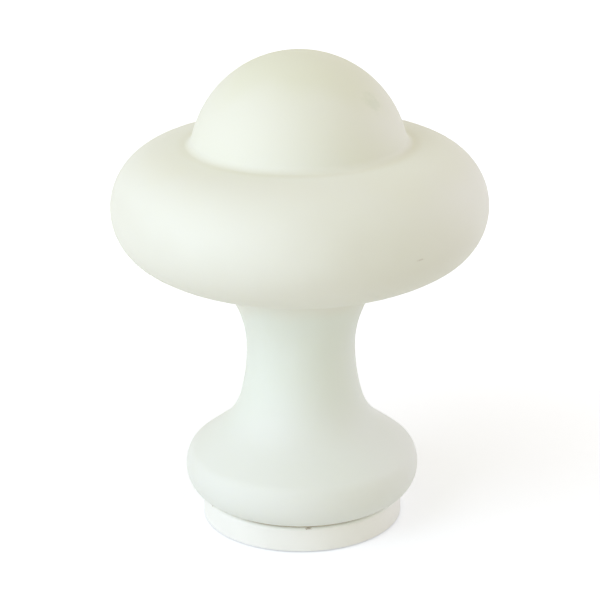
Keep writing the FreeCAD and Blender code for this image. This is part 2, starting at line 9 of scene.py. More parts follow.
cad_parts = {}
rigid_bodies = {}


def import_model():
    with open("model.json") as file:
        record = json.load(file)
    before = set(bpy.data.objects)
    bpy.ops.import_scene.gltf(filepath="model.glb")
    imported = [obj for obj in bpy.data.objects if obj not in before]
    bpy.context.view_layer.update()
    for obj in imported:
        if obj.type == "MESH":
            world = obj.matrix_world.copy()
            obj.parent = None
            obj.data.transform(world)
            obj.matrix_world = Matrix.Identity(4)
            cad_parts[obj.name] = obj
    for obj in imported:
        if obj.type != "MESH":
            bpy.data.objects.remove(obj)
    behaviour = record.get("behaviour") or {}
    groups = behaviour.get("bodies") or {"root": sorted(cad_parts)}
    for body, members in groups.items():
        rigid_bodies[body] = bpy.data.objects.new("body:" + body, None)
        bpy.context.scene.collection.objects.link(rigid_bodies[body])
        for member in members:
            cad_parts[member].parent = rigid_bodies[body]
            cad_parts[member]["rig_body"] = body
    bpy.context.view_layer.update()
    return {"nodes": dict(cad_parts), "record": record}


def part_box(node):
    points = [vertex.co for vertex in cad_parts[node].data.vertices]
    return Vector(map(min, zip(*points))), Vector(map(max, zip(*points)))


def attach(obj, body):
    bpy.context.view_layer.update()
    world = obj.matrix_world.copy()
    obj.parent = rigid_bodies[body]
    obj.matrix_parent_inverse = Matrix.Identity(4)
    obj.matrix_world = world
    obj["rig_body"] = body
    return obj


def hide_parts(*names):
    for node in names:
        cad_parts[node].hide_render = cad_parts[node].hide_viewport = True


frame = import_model()
MM = 0.001

# --- Camera, as the photograph was taken: a 600 pixel frame, seen slightly from above ---
CAMERA_BACK = 1.450
CAMERA_HEIGHT = 0.70385
CAMERA_PITCH = math.radians(20.24)
CAMERA_ROLL = math.radians(-0.53)
FOCAL_PIXELS = 2099.66
FRAME_PIXELS = 600
SHIFT_PIXELS = -0.5
SENSOR = 36.0

# --- Light ---
SKY_LEVEL = 0.698
SKY_COLOUR = (1.0, 0.939, 0.782)
WHITE = (1.0, 1.0, 1.0)
KEY_POWER = 25.5
KEY_PLACE = Vector((-1.55, -1.15, 1.10))
KEY_SIZE = 2.0
KEY_COLOUR = (0.662, 0.765, 1.0)
RIM_POWER = 7.5
RIM_PLACE = Vector((1.6, 0.75, 0.75))
RIM_SIZE = 1.0
RIM_COLOUR = (0.63, 0.607, 1.0)
AIM = Vector((0, 0, 0.2))

# --- Floor: its own glow to the camera grows from near the lamp to farther out ---
FLOOR_REACH = 9.0
FLOOR_CELLS = 12
FLOOR_COLOUR = (0.86, 0.86, 0.85)
GLOW_NEAR, GLOW_FAR = 0.34, 0.65
GLOW_FROM, GLOW_TO = 0.14, 0.75
GLOW_COLOUR = (0.84, 0.90, 1.0)

# --- Where the dome meets the cap ring ---
CREASE_RADIUS = 0.0830
CREASE_HEIGHT = 0.2892

# --- Where the cap runs down into the neck, the glass sags softer than the solid's arcs ---
CAP_LIFT = 3.15 * MM
CAP_LIFT_RADIUS, CAP_LIFT_SPREAD = 82.4 * MM, 24.0 * MM
CAP_LIFT_FROM = (140 * MM, 172 * MM)
NECK_GROWTH = 1.07 * MM
NECK_GROWTH_LEVEL, NECK_SPREAD_BELOW, NECK_SPREAD_ABOVE = 159.2 * MM, 24.6 * MM, 17.7 * MM
LOWER_CAP = (215 * MM, 240 * MM)
MERGE_DISTANCE = 1e-6

# --- Tints of the opal glass, the underside's being painted shade under the cap: from one level to the next the tint goes over to the one given ---
FOOT_TINT = (0.828, 0.866, 0.805)
TINTS_AND_SHADE_UPWARD = (
    (0.055, 0.115, (0.806, 0.862, 0.776)),  # stem
    # The underside's darker, browner tint is painted shade under the cap.
    (0.148, 0.182, (0.812, 0.826, 0.726)),  # underside of the cap
    (0.235, 0.268, (0.845, 0.868, 0.772)),  # cap
    (0.275, 0.300, (0.845, 0.867, 0.755)),  # dome
    (0.318, 0.352, (0.815, 0.838, 0.690)),  # crown
)
FROST_TINT = (0.93, 0.94, 0.90)
# Painted shade: a darker, yellower line along the crease where the dome meets the cap ring.
CREASE_SHADE_TINT = (0.70, 0.67, 0.48)
CREASE_SHADE_WIDTH, CREASE_SHADE_AMOUNT = 0.007, 0.16

# --- Small marks of use, as the photograph shows them ---
DOME_SMUDGE = (0.0514, -0.0319, 0.3276)
SMUDGE_TINT = (0.50, 0.60, 0.42)
CAP_SCRATCH = (0.0814, -0.1095, 0.2376)
SCRATCH_TINT = (0.42, 0.36, 0.26)
SEAM_CHIPS = (((-0.0668, -0.0318, 0.0180), 0.0018), ((0.0043, -0.0737, 0.0190), 0.0030))
BARE_STEEL = (0.30, 0.20, 0.12)

# --- Depths of the finest grain, for bump ---
GRAIN_DEPTH = 0.00002
MOULD_DEPTH = 0.00003

# --- Threads ---
RINGS_PER_TURN = 6
TUBE_PITCH = 1.0 * MM
TUBE_THREAD_DEPTH = 0.55 * MM
TUBE_BORE_RADIUS = 4.0 * MM
TUBE_COUNT = 40
EDISON_PITCH = 3.63 * MM
EDISON_DEPTH = 1.0 * MM
EDISON_LEAD_IN, EDISON_LEAD_OUT = 3.0 * MM, 2.6 * MM
EDISON_COUNT = 96
CAP_TAPER, CAP_COLLAR = 3.0 * MM, 3.6 * MM
CAP_WALL = 0.4 * MM
SCREW_SHELL_WALL = 0.45 * MM

# --- Screws of the cover and the terminal block ---
SCREW_PITCH = 0.5 * MM
SCREW_RADIUS = 1.5 * MM
SCREW_THREAD_DEPTH = 0.35 * MM
SCREW_COUNT = 36
HEAD_RADIUS = 2.8 * MM
HEAD_HEIGHT = 1.5 * MM
CROWN_PART = 0.6
CROWN_STEPS = 6
RECESS_WIDTH, RECESS_LENGTH = 0.32 * HEAD_RADIUS, 1.15 * HEAD_RADIUS
RECESS_DEPTH, RECESS_ABOVE = 0.75 * HEAD_HEIGHT, 0.2 * MM
POST_CIRCLE = 46.0 * MM
POST_ANGLES = (0, 120, 240)
BLOCK_Y = 33.0 * MM

# --- Hard edges of CAD nodes that get a small radius in the picture, in mm ---
EDGE_WIDTHS = {
    "tube_nut_upper": 0.35, "tube_nut_lower": 0.35, "lampholder_lock_nut": 0.35,
    "tube_washers": 0.12, "terminal_block": 0.5, "foot_ring": 0.3, "bottom_cover": 0.15,
    "shade_gasket": 0.15, "cord_grommet": 0.25, "lampholder_insert": 0.4,
    "lampholder_terminals": 0.2, "terminal_screws": 0.15,
}
EDGE_SEGMENTS = 2
FLAT_ANGLE = math.radians(0.5)
HARD_ANGLE = math.radians(40)


# ---------------------------------------------------------------- materials
class Shader:
    """A node material with one Principled shader, built from small named steps."""

    def __init__(self, name):
        self.material = bpy.data.materials.new(name)
        self.material.use_nodes = True
        self.tree = self.material.node_tree
        self.surface = self.tree.nodes["Principled BSDF"]
        self.place = self.node("ShaderNodeTexCoord").outputs["Object"]

    def node(self, kind, **values):
        made = self.tree.nodes.new(kind)
        for name, value in values.items():
            setattr(made, name, value)
        return made

    def link(self, source, target):
        self.tree.links.new(source, target)

    def set(self, **values):
        """Uniform values of the surface; an underscore stands for a space in a socket's name."""
        for name, value in values.items():
            self.surface.inputs[name.replace("_", " ")].default_value = value

    def noise(self, scale, detail=3.0, roughness=0.5, stretch=(1, 1, 1)):
        mapping = self.node("ShaderNodeMapping")
        mapping.inputs["Scale"].default_value = stretch
        self.link(self.place, mapping.inputs["Vector"])
        texture = self.node("ShaderNodeTexNoise")
        texture.inputs["Scale"].default_value = scale
        texture.inputs["Detail"].default_value = detail
        texture.inputs["Roughness"].default_value = roughness
        self.link(mapping.outputs["Vector"], texture.inputs["Vector"])
        return texture.outputs["Fac"]

    def crystals(self, scale):
        texture = self.node("ShaderNodeTexVoronoi")
        texture.inputs["Scale"].default_value = scale
        self.link(self.place, texture.inputs["Vector"])
        return texture.outputs["Distance"]

    def spread(self, value, low, high, out_low=0.0, out_high=1.0):
        """The value between low and high, drawn out smoothly between the two outer ones."""
        made = self.node("ShaderNodeMapRange")
        made.interpolation_type = "SMOOTHSTEP"
        made.inputs["From Min"].default_value = low
        made.inputs["From Max"].default_value = high
        made.inputs["To Min"].default_value = out_low
        made.inputs["To Max"].default_value = out_high
        self.link(value, made.inputs["Value"])
        return made.outputs["Result"]

    def cloud(self, scale, detail=3.0, low=0.0, high=1.0, roughness=0.5):
        """Soft patches of noise that run from low to high."""
        return self.spread(self.noise(scale, detail, roughness), 0.3, 0.7, low, high)

    def math(self, operation, first, second):
        made = self.node("ShaderNodeMath", operation=operation)
        for socket, value in zip(made.inputs, (first, second)):
            if isinstance(value, (int, float)):
                socket.default_value = value
            else:
                self.link(value, socket)
        return made.outputs["Value"]

    def height(self):
        split = self.node("ShaderNodeSeparateXYZ")
        self.link(self.place, split.inputs["Vector"])
        return split.outputs["Z"]

    def ring_distance(self, radius, height):
        """How far a point is from a circle of that radius and height round the lamp's axis."""
        split = self.node("ShaderNodeSeparateXYZ")
        self.link(self.place, split.inputs["Vector"])
        flat = self.node("ShaderNodeCombineXYZ")
        self.link(split.outputs["X"], flat.inputs["X"])
        self.link(split.outputs["Y"], flat.inputs["Y"])
        length = self.node("ShaderNodeVectorMath", operation="LENGTH")
        self.link(flat.outputs["Vector"], length.inputs[0])
        across = self.math("SUBTRACT", length.outputs["Value"], radius)
        up = self.math("SUBTRACT", split.outputs["Z"], height)
        squares = [self.math("MULTIPLY", side, side) for side in (across, up)]
        return self.math("POWER", self.math("ADD", *squares), 0.5)

    def distance_to(self, point, stretch=(1, 1, 1)):
        """How far the surface is from the point, counted more along a stretched axis."""
        offset = self.node("ShaderNodeVectorMath", operation="SUBTRACT")
        self.link(self.place, offset.inputs[0])
        offset.inputs[1].default_value = point
        scaled = self.node("ShaderNodeVectorMath", operation="MULTIPLY")
        self.link(offset.outputs["Vector"], scaled.inputs[0])
        scaled.inputs[1].default_value = stretch
        made = self.node("ShaderNodeVectorMath", operation="LENGTH")
        self.link(scaled.outputs["Vector"], made.inputs[0])
        return made.outputs["Value"]

    def mark(self, point, inner, outer, amount, ragged, grain, stretch=(1, 1, 1)):
        """A mark of that strength, full inside one radius, gone at the other, ragged between."""
        edge = self.cloud(grain, 3.0, -ragged, ragged, 0.6)
        reach = self.math("ADD", self.distance_to(point, stretch), edge)
        return self.spread(reach, inner, outer, amount, 0.0)

    def mix(self, amount, first, second):
        """The first colour where the amount is 0, the second where it is 1."""
        made = self.node("ShaderNodeMix", data_type="RGBA")
        self.link(amount, made.inputs["Factor"])
        for socket, value in ((made.inputs[6], first), (made.inputs[7], second)):
            if isinstance(value, tuple):
                socket.default_value = (*value, 1.0)
            else:
                self.link(value, socket)
        return made.outputs[2]

    def colour(self, value):
        self.link(value, self.surface.inputs["Base Color"])

    def roughness(self, value):
        self.link(value, self.surface.inputs["Roughness"])

    def bump(self, layers):
        """Layers of (height value, distance in metres, strength), one over another."""
        normal = None
        for value, distance, strength in layers:
            made = self.node("ShaderNodeBump")
            made.inputs["Distance"].default_value = distance
            made.inputs["Strength"].default_value = strength
            self.link(value, made.inputs["Height"])
            if normal is not None:
                self.link(normal, made.inputs["Normal"])
            normal = made.outputs["Normal"]
        self.link(normal, self.surface.inputs["Normal"])


def opal_glass():
    """Acid-etched opal glass: milky, faintly green where it is thick, finely frosted."""
    s = Shader("opal_glass_etched")
    s.set(IOR=1.5, Subsurface_Weight=0.25, Subsurface_Scale=0.004)
    s.set(Subsurface_Radius=(1.0, 1.0, 0.85))
    level = s.math("ADD", s.height(), s.cloud(9.0, 2.0, -0.018, 0.018))
    colour = FOOT_TINT
    # The level tints include painted shade on the underside of the cap.
    for start, end, tint in TINTS_AND_SHADE_UPWARD:
        colour = s.mix(s.spread(level, start, end), colour, tint)
    frost = s.cloud(900.0, 4.0, roughness=0.65)
    colour = s.mix(s.math("MULTIPLY", frost, 0.035), colour, FROST_TINT)
    # Painted shade along the crease between the dome and the cap ring.
    crease = s.ring_distance(CREASE_RADIUS, CREASE_HEIGHT)
    colour = s.mix(s.spread(crease, 0.0, CREASE_SHADE_WIDTH, CREASE_SHADE_AMOUNT, 0.0), colour, CREASE_SHADE_TINT)
    smudge = s.mark(DOME_SMUDGE, 0.002, 0.0105, 0.16, 0.003, 180.0)
    colour = s.mix(smudge, colour, SMUDGE_TINT)
    scratch = s.mark(CAP_SCRATCH, 0.0006, 0.0042, 0.36, 0.0012, 900.0, (1, 1, 4.5))
    s.colour(s.mix(scratch, colour, SCRATCH_TINT))
    s.roughness(s.cloud(14.0, 3.0, 0.58, 0.66))
    s.bump([
        (s.noise(11.0, 1.0, 0.4, stretch=(1, 1, 1.6)), 0.0012, 0.35),
        (s.noise(2400.0, 2.0, 0.6), GRAIN_DEPTH, 0.35),
    ])
    return s.material


def white_lacquer():
    """Matte white lacquer on steel: fine orange peel, two small chips at the top edge."""
    s = Shader("white_lacquer_matte")
    s.set(IOR=1.45)
    colour = s.mix(s.cloud(30.0), (0.922, 0.936, 0.885), (0.955, 0.966, 0.918))
    for place, width in SEAM_CHIPS:
        chip = s.mark(place, width * 0.4, width, 0.60, width * 0.3, 1100.0, (1, 1, 3.0))
        colour = s.mix(chip, colour, BARE_STEEL)
    s.colour(colour)
    s.roughness(s.cloud(60.0, 3.0, 0.52, 0.60))
    s.bump([(s.noise(1400.0, 2.0), 0.00004, 0.4), (s.noise(35.0, 2.0), 0.0004, 0.15)])
    return s.material


def metal(name, first, second, rough, grain, stretch):
    """Bare or plated metal with a drawn or turned grain."""
    s = Shader(name)
    s.set(Metallic=1.0)
    lines = s.noise(grain, 4.0, 0.6, stretch=stretch)
    s.colour(s.mix(s.cloud(grain / 20), first, second))
    s.roughness(s.spread(lines, 0.25, 0.75, rough * 0.8, rough * 1.25))
    s.bump([(lines, GRAIN_DEPTH, 0.3)])
    return s.material


def zinc_plate():
    """Passivated zinc: small cool and warm crystals under a dull shine."""
    s = Shader("zinc_plated_steel")
    s.set(Metallic=1.0)
    crystals = s.crystals(260.0)
    plate = s.mix(s.spread(crystals, 0.1, 0.7), (0.655, 0.66, 0.665), (0.69, 0.69, 0.685))
    s.colour(s.mix(s.math("MULTIPLY", s.cloud(40.0), 0.3), plate, (0.66, 0.64, 0.56)))
    s.roughness(s.spread(crystals, 0.0, 0.8, 0.28, 0.42))
    s.bump([(crystals, GRAIN_DEPTH, 0.25)])
    return s.material


def moulded(name, first, second, rough, grain=700.0, scatter=0.0):
    """Moulded plastic, rubber, porcelain or insulation with a fine surface."""
    s = Shader(name)
    s.set(IOR=1.48, Subsurface_Weight=scatter, Subsurface_Scale=0.002)
    s.colour(s.mix(s.cloud(45.0, 4.0), first, second))
    s.roughness(s.cloud(90.0, 3.0, rough * 0.9, rough * 1.12))
    s.bump([(s.noise(grain, 3.0), MOULD_DEPTH, 0.4)])
    return s.material


def frosted_bulb():
    """Frosted glass of the bulb, which lets little through of what is behind it."""
    s = Shader("bulb_glass_frosted")
    s.set(IOR=1.5, Transmission_Weight=0.08, Subsurface_Weight=0.3, Subsurface_Scale=0.003)
    s.colour(s.mix(s.cloud(60.0), (0.94, 0.92, 0.86), (0.96, 0.95, 0.91)))
    s.roughness(s.cloud(40.0, 3.0, 0.30, 0.38))
    s.bump([(s.noise(1500.0, 2.0), GRAIN_DEPTH, 0.25)])
    return s.material


def clear_glass():
    """Clear glass of the bulb's stem, a little uneven."""
    s = Shader("stem_glass_clear")
    s.set(IOR=1.5, Transmission_Weight=1.0)
    s.colour(s.mix(s.cloud(80.0, 2.0), (0.93, 0.96, 0.95), (0.97, 0.98, 0.97)))
    s.roughness(s.cloud(120.0, 2.0, 0.03, 0.08))
    s.bump([(s.noise(150.0, 1.0), 0.0002, 0.2)])
    return s.material


MATERIALS = {
    "opal_glass": opal_glass(),
    "white_lacquer": white_lacquer(),
    "zinc_steel": zinc_plate(),
    "rubber_white": moulded(
        "silicone_white", (0.72, 0.72, 0.68), (0.78, 0.78, 0.74), 0.5, scatter=0.2),
    "rubber_dark": moulded(
        "rubber_dark", (0.030, 0.030, 0.031), (0.042, 0.042, 0.043), 0.75, 1800.0),
    "white_plastic": moulded("plastic_white", (0.80, 0.80, 0.77), (0.84, 0.84, 0.82), 0.38),
    "porcelain": moulded(
        "porcelain_glazed", (0.84, 0.83, 0.79), (0.88, 0.87, 0.84), 0.16, 300.0),
    "brass": metal("brass_plain", (0.72, 0.52, 0.22), (0.80, 0.62, 0.30), 0.28, 900.0, (1, 1, 6)),
    "lead_brown": moulded("insulation_brown", (0.10, 0.045, 0.02), (0.13, 0.06, 0.03), 0.4),
    "lead_blue": moulded("insulation_blue", (0.02, 0.06, 0.24), (0.03, 0.08, 0.30), 0.4),
    "bulb_frosted": frosted_bulb(),
    "clear_glass": clear_glass(),
    "aluminium": metal(
        "aluminium_pressed", (0.74, 0.74, 0.75), (0.82, 0.82, 0.82), 0.30, 800.0, (1, 1, 5)),
    "black_glass": moulded(
        "vitrite_black", (0.012, 0.012, 0.014), (0.03, 0.03, 0.034), 0.12, 200.0),
    "tungsten": metal(
        "tungsten_drawn", (0.25, 0.25, 0.26), (0.34, 0.34, 0.35), 0.35, 1500.0, (1, 1, 8)),
}
# Painted shade: the gasket is coloured dark brown to stand for the shadow in the gap between the
# glass and the base.
SEAM_SHADE_SILICONE = moulded(
    "silicone_seam_shade", (0.46, 0.39, 0.29), (0.56, 0.49, 0.37), 0.5, scatter=0.1)
SLOT_OF = {row["node"]: row["material_slot"] for row in frame["record"]["subparts"]}


def dress(piece, slot):
    """Gives a piece the material of that slot and no other."""
    piece.data.materials.clear()
    piece.data.materials.append(MATERIALS[slot])


# ---------------------------------------------------------------- mesh helpers
def in_scene(name, data):
    """A new object in the scene."""
    made = bpy.data.objects.new(name, data)
    bpy.context.scene.collection.objects.link(made)
    return made


def span(node):
    """Outer radius, lowest and highest level of a CAD node that is round about the lamp's axis."""
    low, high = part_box(node)
    return (high.x - low.x) / 2, low.z, high.z


def object_of(name, mesh, *nodes):
    """A piece that stands for CAD nodes, on their body and in their finish."""
    piece = in_scene(name, mesh)
    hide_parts(*nodes)
    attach(piece, frame["nodes"][nodes[0]]["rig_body"])
    dress(piece, SLOT_OF[nodes[0]])


def mesh_of(bm, name):
    """The finished bmesh as a mesh."""
    mesh = bpy.data.meshes.new(name)
    bm.to_mesh(mesh)
    bm.free()
    return mesh


def smooth(mesh, sharp_from):
    """Smooth faces; edges that turn by more than that many degrees stay sharp."""
    mesh.shade_smooth()
    mesh.set_sharp_from_angle(angle=math.radians(sharp_from))
    return mesh


def finish_mesh(bm, name, sharp_from=35):
    """The bmesh as a smooth mesh whose faces look outwards."""
    bmesh.ops.recalc_face_normals(bm, faces=bm.faces)
    return smooth(mesh_of(bm, name), sharp_from)


def grid_of_revolution(bm, rows, closed=False):
    """Faces between rings of vertices; closed also joins the last ring to the first."""
    pairs = list(zip(rows, rows[1:])) + ([(rows[-1], rows[0])] if closed else [])
    for low, high in pairs:
        for index in range(len(low)):
            after = (index + 1) % len(low)
            bm.faces.new((low[index], low[after], high[after], high[index]))


def ring_of(bm, radius_at, height, count):
    """One ring of vertices; radius_at gives the radius for an angle."""
    vertices = []
    for index in range(count):
        angle = 2 * math.pi * index / count
        radius = radius_at(angle)
        vertices.append(bm.verts.new((radius * math.cos(angle), radius * math.sin(angle), height)))
    return vertices


def round_ring(bm, radius, height, count):
    """One ring of vertices on a circle."""
    return ring_of(bm, lambda angle: radius, height, count)


def corner_rings(bm, radius, height, size, start, end, steps, count):
    """Rings along an arc about that radius and height, between two angles in degrees."""
    rows = []
    for step in range(steps + 1):
        turn = math.radians(start + (end - start) * step / steps)
        level = height + size * math.sin(turn)
        rows.append(round_ring(bm, radius + size * math.cos(turn), level, count))
    return rows


def threaded_wall(bm, bottom, top, count, steps, radius_at):
    """Rings from bottom to top, whose radius depends on the angle and the height."""
    rows = []
    for step in range(steps + 1):
        height = bottom + (top - bottom) * step / steps
        rows.append(ring_of(bm, lambda angle, z=height: radius_at(angle, z), height, count))
    return rows


def clamped(value):
    return min(1.0, max(0.0, value))


def ease(value, start, end):
    """0 before the start, 1 after the end, smooth between them."""
    part = clamped((value - start) / (end - start))
    return part * part * (3 - 2 * part)


def bell(distance, reach):
    """1 in the middle, falling off smoothly on both sides."""
    return math.exp(-(distance / reach) ** 2)


def wave(turns):
    """A triangle wave between 0 and 1."""
    part = turns % 1.0
    return 1 - abs(2 * part - 1)


def cut_thread(radius, depth, pitch, fade, angle, z):
    """Radius of a cut thread at an angle and height; where fade is 0 only its core is left."""
    groove = depth * wave(z / pitch - angle / (2 * math.pi))
    return radius - groove * fade - depth * (1 - fade)


def rolled_thread(radius, bottom, top):
    """Gives the radius of a rolled sheet-metal thread, flat at both ends, by angle and height."""
    def radius_at(angle, z):
        fade = clamped(min((z - bottom) / EDISON_LEAD_IN, (top - z) / EDISON_LEAD_OUT))
        swing = 0.5 - 0.5 * math.cos(2 * math.pi * (z / EDISON_PITCH - angle / (2 * math.pi)))
        return radius - EDISON_DEPTH * swing * fade

    return radius_at


# ---------------------------------------------------------------- pieces
def blown_shade():
    """The glass of the CAD node, its underside lifted and its neck widened where they meet."""
    bm = bmesh.new()
    bm.from_mesh(frame["nodes"]["glass_shade"].data)
    bmesh.ops.remove_doubles(bm, verts=bm.verts, dist=MERGE_DISTANCE)
    for vert in bm.verts:
        radius, z = vert.co.xy.length, vert.co.z
        low = 1 - ease(z, *LOWER_CAP)
        if low > 0:
            spread = NECK_SPREAD_BELOW if z < NECK_GROWTH_LEVEL else NECK_SPREAD_ABOVE
            growth = low * NECK_GROWTH * bell(z - NECK_GROWTH_LEVEL, spread)
            lift = low * ease(z, *CAP_LIFT_FROM) * CAP_LIFT
            vert.co.xy *= 1 + growth / radius
            vert.co.z += lift * bell(radius - CAP_LIFT_RADIUS, CAP_LIFT_SPREAD)
    mesh = finish_mesh(bm, "glass_shade_blown", 50)
    if "custom_normal" in mesh.attributes:
        mesh.attributes.remove(mesh.attributes["custom_normal"])
    object_of("glass_shade_blown", mesh, "glass_shade")


def threaded_tube():
    """Support tube with its thread from end to end, and its bore."""
    outer, bottom, top = span("support_tube")

    def thread(angle, z):
        fade = min(1.0, min(z - bottom, top - z) / TUBE_PITCH)
        return cut_thread(outer, TUBE_THREAD_DEPTH, TUBE_PITCH, fade, angle, z)

    bm = bmesh.new()
    steps = round((top - bottom) / TUBE_PITCH * RINGS_PER_TURN)
    rows = threaded_wall(bm, bottom, top, TUBE_COUNT, steps, thread)
    rows += [round_ring(bm, TUBE_BORE_RADIUS, level, TUBE_COUNT) for level in (top, bottom)]
    grid_of_revolution(bm, rows, closed=True)
    name = "threaded_support_tube"
    object_of(name, finish_mesh(bm, name, 50), "support_tube")


def rolled_sheet(name, node, steps, outside, inside):
    """A sheet-metal wall between two threaded sides, in the place of a CAD node."""
    _, bottom, top = span(node)
    bm = bmesh.new()
    rows = threaded_wall(bm, bottom, top, EDISON_COUNT, steps, outside)
    rows += threaded_wall(bm, top, bottom, EDISON_COUNT, steps, inside)
    grid_of_revolution(bm, rows, closed=True)
    object_of(name, finish_mesh(bm, name, 60), node)


def bulb_cap():
    """Aluminium screw cap of the bulb: tapered foot, rolled thread and a plain collar."""
    outer, bottom, top = span("bulb_screw_cap")
    thread_from = bottom + CAP_TAPER
    thread = rolled_thread(outer, thread_from, top - CAP_COLLAR)

    def outside(angle, z):
        if z < thread_from:
            return outer - (thread_from - z)
        return thread(angle, z)

    rolled_sheet(
        "bulb_screw_cap_rolled", "bulb_screw_cap", 90,
        outside, lambda angle, z: outside(angle, z) - CAP_WALL)


def holder_screw_shell():
    """Brass shell of the lampholder, whose rolled thread matches the bulb's cap."""
    outer, _, _ = span("lampholder_screw_shell")
    cap, cap_bottom, cap_top = span("bulb_screw_cap")
    thread_from = cap_bottom + CAP_TAPER
    thread = rolled_thread(cap, thread_from, cap_top - CAP_COLLAR)
    gap = outer - SCREW_SHELL_WALL - cap

    def inside(angle, z):
        if z < thread_from:
            return cap + gap
        return thread(angle, z) + gap

    rolled_sheet(
        "lampholder_screw_shell_rolled", "lampholder_screw_shell", 76,
        lambda angle, z: inside(angle, z) + SCREW_SHELL_WALL, inside)


def ribbed_holder_shell():
    """Moulded ring of the lampholder with grip ribs round its side."""
    outer, bottom, top = span("lampholder_shell")
    wall, mouth, edge = 1.6 * MM, 15.6 * MM, 2.5 * MM
    ribs, rib_depth, run_out = 40, 0.45 * MM, 1.5 * MM
    rib_low, rib_high = bottom + 3 * MM, top - 6 * MM
    foot_edge, mouth_edge = 0.5 * MM, 0.3 * MM
    count = ribs * 8

    def side(z):
        """Radius as the angle turns: grooves with soft ends between the ribs."""
        fade = clamped(min((z - rib_low) / run_out, (rib_high - z) / run_out))

        def radius(angle):
            swing = max(0.0, math.cos(ribs * angle)) ** 0.5
            return outer - rib_depth * (1 - swing) * fade

        return radius

    bm = bmesh.new()
    rows = [round_ring(bm, outer - foot_edge, bottom, count)]
    rows.append(round_ring(bm, outer - foot_edge * 0.3, bottom + foot_edge * 0.3, count))
    run = (0.0, 0.4 * MM, 0.8 * MM, run_out)
    levels = [bottom + foot_edge] + [rib_low + rise for rise in run]
    levels += [rib_high - rise for rise in reversed(run)]
    rows += [ring_of(bm, side(z), z, count) for z in levels]
    rows += corner_rings(bm, outer - edge, top - edge, edge, 0, 90, 8, count)
    rows.append(round_ring(bm, mouth + mouth_edge, top, count))
    rows.append(round_ring(bm, mouth, top - mouth_edge, count))
    rows.append(round_ring(bm, mouth, top - wall, count))
    rows += corner_rings(bm, outer - edge, top - edge, edge - wall, 90, 0, 4, count)
    rows.append(round_ring(bm, outer - wall, bottom, count))
    grid_of_revolution(bm, rows, closed=True)
    name = "lampholder_shell_ribbed"
    object_of(name, finish_mesh(bm, name), "lampholder_shell")


def carved(mesh, cutter):
    """The first mesh less the second."""
    body, tool = in_scene("carved", mesh), in_scene("cutter", cutter)
    cut = body.modifiers.new("cut", "BOOLEAN")
    cut.object = tool
    cut.solver = "EXACT"
    cut.use_self = True
    bpy.context.view_layer.update()
    shown = body.evaluated_get(bpy.context.evaluated_depsgraph_get())
    result = bpy.data.meshes.new_from_object(shown)
    for each in (body, tool):
        bpy.data.objects.remove(each)
    return result


def cross_recess():
    """Two crossed blades that narrow towards the bottom of a screw's recess."""
    bm = bmesh.new()
    half_length, half_width = RECESS_LENGTH / 2, RECESS_WIDTH / 2
    for turn in (90, 0):
        corners = [(-1, -1), (1, -1), (1, 1), (-1, 1)]
        high = [(x * half_length, y * half_width) for x, y in corners]
        foot = [bm.verts.new((x / 2, y / 2, RECESS_DEPTH)) for x, y in high]
        mouth = [bm.verts.new((x, y, -RECESS_ABOVE)) for x, y in high]
        bm.faces.new(foot)
        bm.faces.new(mouth[::-1])
        for index in range(4):
            after = (index + 1) % 4
            bm.faces.new((foot[index], mouth[index], mouth[after], foot[after]))
        quarter = Matrix.Rotation(math.radians(turn), 3, "Z")
        bmesh.ops.rotate(bm, cent=(0, 0, 0), matrix=quarter, verts=foot + mouth)
    bmesh.ops.recalc_face_normals(bm, faces=bm.faces)
    return mesh_of(bm, "recess")


def screw_mesh(length):
    """Pan-head screw that points up, its head's crown at level 0, with a cut thread."""
    bm = bmesh.new()
    rows = []
    crown = HEAD_HEIGHT * CROWN_PART
    for step in range(CROWN_STEPS + 1):
        turn = math.radians(90 * step / CROWN_STEPS)
        reach = HEAD_RADIUS - crown * (1 - math.sin(turn))
        rows.append(round_ring(bm, reach, crown * (1 - math.cos(turn)), SCREW_COUNT))
    rows.append(round_ring(bm, HEAD_RADIUS, HEAD_HEIGHT, SCREW_COUNT))
    rows.append(round_ring(bm, SCREW_RADIUS * 0.98, HEAD_HEIGHT, SCREW_COUNT))
    tip = HEAD_HEIGHT + length

    def thread(angle, z):
        fade = min(1.0, (tip - z) / (1.5 * SCREW_PITCH))
        return cut_thread(SCREW_RADIUS, SCREW_THREAD_DEPTH, SCREW_PITCH, fade, angle, z)

    steps = round(length / SCREW_PITCH * RINGS_PER_TURN)
    for step in range(1, steps + 1):
        z = HEAD_HEIGHT + length * step / steps
        rows.append(ring_of(bm, lambda angle, z=z: thread(angle, z), z, SCREW_COUNT))
    grid_of_revolution(bm, rows)
    bm.faces.new(rows[0][::-1])
    bm.faces.new(rows[-1])
    bmesh.ops.recalc_face_normals(bm, faces=bm.faces)
    return smooth(carved(mesh_of(bm, "screw"), cross_recess()), 40)


def screws_for(node, name, places, turns):
    """Threaded screws that stand in the places of a CAD node's plain ones."""
    low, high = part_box(node)
    mesh = screw_mesh(high.z - low.z - HEAD_HEIGHT)
    bm = bmesh.new()
    for (x, y), turn in zip(places, turns):
        copy = mesh.copy()
        turned = Matrix.Rotation(math.radians(turn), 4, "Z")
        copy.transform(Matrix.Translation((x, y, low.z)) @ turned)
        bm.from_mesh(copy)
    object_of(name, smooth(mesh_of(bm, name), 40), node)


def soften(node, width):
    """Rounds the hard edges of a CAD node in the picture, by modifiers alone."""
    piece = frame["nodes"][node]
    weld = piece.modifiers.new("weld", "WELD")
    weld.merge_threshold = MERGE_DISTANCE
    flat = piece.modifiers.new("flat_faces", "DECIMATE")
    flat.decimate_type = "DISSOLVE"
    flat.angle_limit = FLAT_ANGLE
    bevel = piece.modifiers.new("edges", "BEVEL")
    bevel.width = width
    bevel.segments = EDGE_SEGMENTS
    bevel.limit_method = "ANGLE"
    bevel.angle_limit = HARD_ANGLE
    bevel.harden_normals = True


